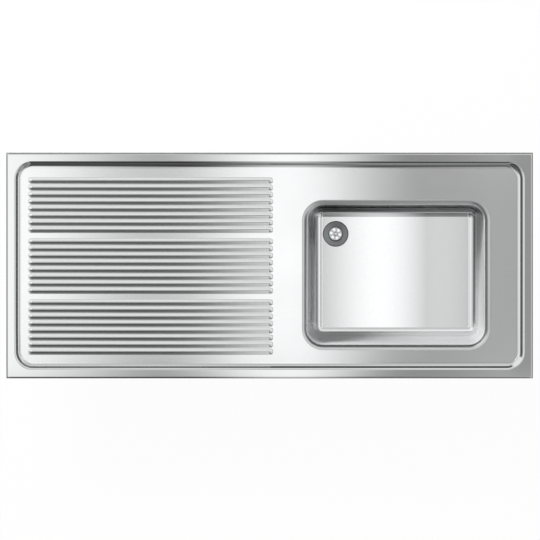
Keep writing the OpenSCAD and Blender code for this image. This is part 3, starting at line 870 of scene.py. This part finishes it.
@dataclass
class Waste:
    """The waste: dished flange, cup for the strainer, threaded tail, and the strainer itself."""

    centre: tuple = (176.0, 77.0)
    floor_z: float = -218.0
    flange_r: float = 32.5
    flange_t: float = 1.5
    seal_t: float = 1.0
    recess_run: float = 0.9
    recess_r: float = 0.5
    recess_gap: float = 0.3
    hole_gap: float = 0.6
    dish: float = 1.6
    cup_r: float = 18.6
    cup: float = 3.4
    ledge: float = 3.0
    throat_r: float = 15.5
    tail_r: float = 23.9
    wall: float = 3.5
    length: float = 72.0
    pitch: float = 2.309
    thread_depth: float = 0.75
    thread_top: float = 7.0
    chamfer: float = 0.9
    strainer_r: float = 17.4
    strainer_t: float = 1.2
    strainer_edge: float = 0.25
    hole_r: float = 3.9
    hole_ring_r: float = 11.6
    holes: int = 6
    first_hole: float = -11.0
    knob_r: float = 3.6
    knob_h: float = 3.4

    def recess(self) -> Array:
        """The pressed recess round the waste, as radius and height from its rim to its hole."""
        depth = self.flange_t + self.seal_t
        slope = degrees(atan2(depth, self.recess_run))
        trim = self.recess_r * tan(radians(slope / 2))
        path = bent_path(
            [Fold(COLLAR, self.recess_r, -slope, 5),
             Fold(hypot(depth, self.recess_run) - 2 * trim, self.recess_r, slope, 5)],
            (0.0, 0.0),
        )
        path[:, 0] = self.flange_r + self.recess_gap + path[-1, 0] - path[:, 0]
        path[:, 1] += self.floor_z
        return np.concatenate([path, [[self.tail_r + self.hole_gap, path[-1, 1]]]])

    def body_profile(self) -> Array:
        """The section up the bore and the cup, over the flange and down to the thread."""
        bore, throat, cup = self.tail_r - self.wall, self.throat_r, self.cup_r
        rim, lip = self.flange_r, -self.dish
        low = lip - self.cup
        under = low - self.ledge
        return np.array([
            [bore, -self.length], [bore, -30.0], [bore, under - 0.6], [bore - 0.6, under],
            [throat + 0.3, under], [throat, under + 0.3], [throat, low - 0.3], [throat + 0.3, low],
            [cup - 0.4, low], [cup, low + 0.4], [cup, lip - 0.5], [cup + 0.15, lip - 0.15],
            [cup + 0.5, lip + 0.03], [cup + 4, lip * 0.72], [cup + 8, lip * 0.4],
            [rim - 1.6, -0.09], [rim - 1.0, 0.0], [rim - 0.5, -0.1], [rim - 0.15, -0.35],
            [rim, -0.75], [rim, -self.flange_t], [self.tail_r, -self.flange_t],
            [self.tail_r, -self.thread_top],
        ]) + [0, self.floor_z]

    def thread(self, steps: int) -> Array:
        """The threaded tail: the radius falls by a triangle wave of height and of the turn.

        Args:
            steps: points in a ring.

        Returns:
            Rings from under the seal to the tail's end.
        """
        height = np.arange(-self.thread_top, -self.length + 1.0, -self.pitch / 6)
        turn = np.linspace(0, 1, steps, endpoint=False)
        phase = (height[:, None] / self.pitch + turn[None]) % 1.0
        groove = 1 - np.abs(2 * phase - 1)
        ease = np.clip((-self.thread_top - height) / 3, 0, 1)
        ease *= np.clip((height + self.length) / 2, 0, 1)
        radius = self.tail_r - self.thread_depth * groove * ease[:, None]
        rings = radius[:, :, None] * compass(turn * 2 * pi) + self.centre
        return raised(rings, height + self.floor_z)

    def build_body(self, material: Material) -> None:
        """Turns the flange and the bore, winds the thread and closes the tail's end."""
        steps = 120
        rings = turned(self.body_profile(), self.centre, steps)
        thread = self.thread(steps)
        low = self.floor_z - self.length
        end = np.array([[self.tail_r - self.chamfer, low], [self.tail_r - self.wall, low]])
        skin = Skin()
        skin.grid(rings, flip=True)
        skin.grid(np.concatenate([rings[-1:], thread, turned(end, self.centre, steps)]), flip=True)
        put(skin.make("waste_fitting", crease=50.0), "sink", "waste_steel", material, "waste_body")

    def build_strainer(self, material: Material) -> None:
        """Builds the strainer: a plate filled between edge, holes and knob, and the turned knob."""
        z = self.floor_z - self.dish - self.cup
        top = z + self.strainer_t
        ring = compass(np.linspace(0, 2 * pi, 96, endpoint=False))
        spots = np.radians(self.first_hole + 360 / self.holes * np.arange(self.holes))
        holes = self.hole_ring_r * compass(spots)
        rounds = [(np.zeros(2), self.strainer_r, -self.strainer_edge, ring, False)]
        rounds += [(hole, self.hole_r, 0.2, ring[::3], True) for hole in holes]
        skin = Skin()
        loops = {top: [], z: []}
        for middle, radius, ease, way, inward in rounds:
            wall = np.array([[radius + ease, top], [radius, top - self.strainer_edge], [radius, z]])
            rows = raised(wall[:, :1, None] * way + self.centre + middle, wall[:, 1])
            skin.grid(rows, flip=inward)
            loops[top].append(rows[0])
            loops[z].append(rows[2])
        wide, tall, neck = self.knob_r, self.knob_h, self.knob_r * 0.6
        knob = np.array([
            [neck + 0.5, 0], [neck + 0.15, 0.15], [neck, 0.5], [neck, tall - 1.5],
            [wide - 0.3, tall - 1.0], [wide, tall - 0.7], [wide - 0.1, tall - 0.4],
            [wide - 0.5, tall - 0.15], [wide - 1.3, tall], [0.4, tall],
        ]) + [0, top]
        knob_rings = turned(knob, self.centre, 32)
        skin.grid(knob_rings)
        skin.fill([knob_rings[-1]])
        skin.fill([*loops[top], knob_rings[0]])
        skin.fill(loops[z], up=False)
        put(skin.make("waste_strainer", crease=50.0), "strainer", "polished_steel", material, "strainer")


@dataclass
class Bowl:
    """The drawn bowl: rolled top edge, drafted walls, round base and the recess for the waste."""

    depth: float = 250.0
    deck_z: float = 32.0
    sheet: float = 1.2
    roll_r: float = 14.0
    base_r: float = 27.0
    draft: float = 3.5
    opening: BowlOpening = BowlOpening()

    def build(self, waste: Waste, material: Material) -> None:
        """Carries the bowl's section round its opening, then fills the floor round the waste's recess.

        Args:
            waste: the waste that the recess takes.
            material: the bowl's finish.
        """
        turn = 90 - self.draft
        bend = 1 - cos(radians(turn))
        wall = (self.depth - (self.roll_r + self.base_r) * bend) / sin(radians(turn))
        section = bent_path(
            [Fold(0, self.roll_r, -turn, 14), Fold(wall, self.base_r, turn, 18, 6), Fold(COLLAR)],
            (0.0, self.deck_z),
        )
        rings = self.opening.frame().sweep(section)
        recess_rings = turned(waste.recess(), waste.centre, 96)
        skin = Skin()
        skin.grid(rings)
        skin.grid(recess_rings)
        skin.fill([rings[-1], recess_rings[0]])
        put(skin.make("bowl_sheet", self.sheet), "sink", "bowl_steel", material, "bowl")


@dataclass
class Hardware:
    """The nodes that keep their solids: bearers, rails, seals, nut, pads and fasteners."""

    finishes: tuple = (
        Rubber("seal_rubber"),
        MouldedPlastic("white_plastic"),
        MachinedMetal("nut_brass", (0.75, 0.60, 0.30), 0.3, 0.004, 0.5),
        Galvanised("zinc_steel"),
        Rubber("adhesive", (0.08, 0.08, 0.08), 0.6, 400.0),
        MachinedMetal("fastener_steel"),
        SoundPad("sound_pad"),
    )

    def dress(self) -> None:
        """Gives each shown node the material of its slot in the record."""
        made = {finish.name: finish.build() for finish in self.finishes}
        for part in frame["record"]["subparts"]:
            node, slot = part["node"], part["material_slot"]
            if slot in made:
                shown = frame["nodes"][node]
                shown.data.materials.clear()
                shown.data.materials.append(made[slot])
                LOG.info("%s: %s", node, slot)


# Studio


@dataclass(frozen=True)
class Softbox:
    """A soft patch of the dome: a ramp over a direction in plan, a rise and a fall over the lean."""

    way: tuple
    rise: tuple
    fall: tuple
    light: float

    def glow(self, way: Wire, lean: Wire) -> Wire:
        """Its brightness at a direction and a lean."""
        return way.ramp(*self.way) * lean.ramp(*self.rise) * lean.ramp(*self.fall) * self.light


@dataclass
class Studio:
    """A white floor, a dome of soft light with a shaded pattern, and a long lens straight above."""

    floor_z: float = -0.2905
    floor_rings: tuple = (4000.0, 1500.0, 10.0)
    floor_steps: int = 64
    floor_tone: float = 0.4
    floor_white: float = 1.04
    floor_glow: float = 0.93
    floor_gloss: float = 0.2
    dome_r: float = 4.0
    dome_lean: tuple = (0.3, 91.5)
    dome_steps: tuple = (60, 96)
    first_panel: float = 1.22
    panels: tuple = ((-0.75, -0.29, -0.73), (-0.34, 0.04, 0.80), (0.06, 0.40, -0.96),
                     (0.44, 0.85, 0.24), (0.675, 0.7, -0.15))
    panel_edges: tuple = ((-1.3, -0.85), (1.3, 0.85), (-0.54, -0.40), (0.36, 0.2))
    front_panel: tuple = ((-0.24, 0.06), (0.06, 0.3), (0.8, 0.65))
    front_light: float = 0.8
    front_strip: Softbox = Softbox((0.04, 0.3), (0.48, 0.6), (0.86, 0.76), 0.45)
    rear_left: Softbox = Softbox((1.14, 1.32), (0.15, 0.3), (0.98, 0.85), 1.05)
    front_right: Softbox = Softbox((1.28, 1.36), (0.15, 0.3), (0.8, 0.7), 0.75)
    scale: float = 1.4 / 526.6
    centre_px: tuple = (269.6, 265.7)
    frame_px: float = 540.0
    lean: float = 1.8
    lens: float = 1500.0
    sensor: float = 36.0
    clip: tuple = (1.0, 200.0)
    top_z: float = 0.04
    key_turn: float = 133.0
    key_rise: float = 38.0
    key_power: float = 92.0
    key_size: float = 1.2
    key_reach: float = 3.0

    def camera(self) -> None:
        """Sets the camera over the photograph's frame centre, leaning a little to the rear."""
        lean = radians(self.lean)
        back = np.array([0.0, sin(lean), cos(lean)])
        half = self.frame_px / 2
        shift = np.array([half - self.centre_px[0], self.centre_px[1] - half]) * self.scale
        target = np.array([*shift, self.top_z])
        distance = self.frame_px * self.scale * self.lens / self.sensor
        data = bpy.data.cameras.new("camera")
        data.lens, data.sensor_width = self.lens, self.sensor
        data.clip_start, data.clip_end = self.clip
        camera = bpy.data.objects.new("camera", data)
        camera.location = target + back * distance
        camera.rotation_euler = (-lean, 0.0, 0.0)
        bpy.context.scene.collection.objects.link(camera)
        bpy.context.scene.camera = camera
        LOG.info("camera %.2f m away", distance)

    def floor(self) -> None:
        """Lays a pale disc that looks white to the camera, and still takes a faint shadow."""
        profile = np.array([[r, self.floor_z / MM] for r in self.floor_rings])
        rings = turned(profile, (0, 0), self.floor_steps)
        skin = Skin()
        skin.grid(rings)
        skin.fill([rings[-1]])
        piece = skin.make("floor")
        shader = Shader("floor")
        camera, gloss, through = (
            shader.node("LightPath", out=f"Is {ray} Ray") for ray in ("Camera", "Glossy", "Transmission")
        )
        seen = camera.larger(gloss * self.floor_gloss).larger(through)
        below = shader.node("NewGeometry", out="Backfacing")
        plain = shader.node("BsdfDiffuse", {"Color": rgba([self.floor_tone] * 3)})
        white = shader.node("Emission", {"Color": WHITE, "Strength": self.floor_white})
        clear = shader.node("BsdfTransparent")
        lit = shader.node("MixShader", {0: seen * self.floor_glow, 1: plain, 2: white})
        both = shader.node("MixShader", {0: below, 1: lit, 2: clear})
        piece.data.materials.append(shader.close(both))

    def world(self) -> None:
        """Makes the surroundings white."""
        world = bpy.data.worlds.new("world")
        world.use_nodes = True
        world.node_tree.nodes["Background"].inputs["Color"].default_value = WHITE
        bpy.context.scene.world = world

    def overhead(self, along: Wire) -> Wire:
        """Brightness of the panels overhead along the top: two bright, a shaded gap and a dark end."""
        changes = (along.ramp(low, high) * change for low, high, change in self.panels)
        return sum(changes, self.first_panel)

    def sides(self) -> dict:
        """Stops of each side's brightness, by the angle from overhead in hundreds of degrees."""
        return {
            "left": [(0.0, 0.7), (0.15, 0.8), (0.35, 0.9), (0.5, 0.3), (0.7, 0.1), (0.9, 0.08), (1.0, 0.2)],
            "right": [(0.0, 0.6), (0.15, 1.0), (0.35, 1.0), (0.5, 0.45), (0.62, 0.1), (0.9, 0.1), (1.0, 0.2)],
            "front": [(0.0, 0.06), (0.7, 0.06), (0.8, 0.2), (0.9, 0.25), (1.0, 0.2)],
            "rear": [(0.0, 0.6), (0.2, 0.65), (0.35, 0.95), (0.48, 1.0), (0.55, 0.5), (0.62, 0.12),
                     (0.9, 0.08), (1.0, 0.2)],
        }

    def dome(self) -> None:
        """Hangs the dome of light: panels overhead, and each side with its own brightness by height."""
        lean = np.radians(np.linspace(*self.dome_lean, self.dome_steps[0]))
        rings = turned(compass(lean)[:, ::-1] * self.dome_r / MM, (0, 0), self.dome_steps[1])
        skin = Skin()
        skin.grid(rings)
        skin.fill([rings[0]], up=False)
        piece = skin.make("light_dome")
        shader = Shader("light_dome")
        spot = shader.place()
        along, across, up = (spot.part(axis) for axis in "XYZ")
        reach = (along * along + across * across) ** 0.5
        lean_share = reach.maths("ARCTAN2", reach, up) / radians(100)
        ways = {"left": -along, "right": along, "front": -across, "rear": across}
        tones = {}
        for side, stops in self.sides().items():
            tone = shader.node("ValToRGB", {0: lean_share}, stops=stops)
            tones[side] = shader.node("RGBToBW", {0: tone})
        rise, fall, lean_fall = self.front_panel
        glow = along.ramp(*rise) - along.ramp(*fall)
        tones["front"] += glow * lean_share.ramp(*lean_fall) * self.front_light
        tones["front"] += self.front_strip.glow(along, lean_share)
        light = sum((way / reach).larger(0.0) ** 2.0 * tones[side] for side, way in ways.items())
        light = light.larger(self.rear_left.glow((across - along) / reach, lean_share))
        light = light.larger(self.front_right.glow((along - across) / reach, lean_share))
        left, right, front, rear = self.panel_edges
        inside = along.ramp(*left) * along.ramp(*right) * across.ramp(*front) * across.ramp(*rear)
        light += inside * (self.overhead(along) - light)
        shine = shader.node("Emission", {"Color": WHITE, "Strength": light})
        piece.data.materials.append(shader.close(shine))
        piece.visible_camera = False
        piece.visible_shadow = False

    def key_light(self) -> None:
        """Hangs a soft lamp to the rear left, which fills the bowl's front and right walls."""
        turn, rise = radians(self.key_turn), radians(self.key_rise)
        way = np.append(compass(turn) * cos(rise), sin(rise))
        data = bpy.data.lights.new("key_light", "AREA")
        data.shape, data.size, data.energy = "DISK", self.key_size, self.key_power
        lamp = bpy.data.objects.new("key_light", data)
        lamp.location = way * self.key_reach
        lamp.rotation_euler = (pi / 2 - rise, 0.0, turn + pi / 2)
        lamp.visible_glossy = False
        bpy.context.scene.collection.objects.link(lamp)
        LOG.info("key light at %s", np.round(lamp.location, 2))

    def build(self) -> None:
        """Sets the view, the camera, the floor and the light."""
        bpy.context.scene.view_settings.view_transform = "Standard"
        self.camera()
        self.floor()
        self.world()
        self.dome()
        self.key_light()


def main() -> None:
    """Builds the studio, the sheets, the waste and the dressed fittings."""
    logging.basicConfig(level=logging.INFO, format="%(name)s %(message)s")
    Studio().build()
    waste = Waste()
    drawn = DrawnSteel("bowl_steel", (0.81, 0.815, 0.82), 0.08, Grain.DRAWN, 1e-7, 0.004)
    # painted shade: the waste is darker inside its cup, below the lip
    lathed = BandedSteel(
        "waste_steel", (0.30, 0.32, 0.32), 0.34, Grain.TURNED, 1.5e-6,
        painted_light_band=(-0.2198, -0.2208), painted_light_factor=0.3,
    )
    # painted highlight: the strainer's knob head is lighter
    polished = BandedSteel(
        "polished_steel", (0.62, 0.63, 0.63), 0.2, Grain.DRAWN, 5e-7,
        painted_light_band=(-0.2200, -0.2190), painted_light_factor=1.6,
    )
    Worktop().build(PressedSteel("worktop_steel", (0.84, 0.845, 0.85), 0.11, metallic=0.95).build())
    Bowl().build(waste, drawn.build())
    waste.build_body(lathed.build())
    waste.build_strainer(polished.build())
    Hardware().dress()


if __name__ == "__main__":
    main()
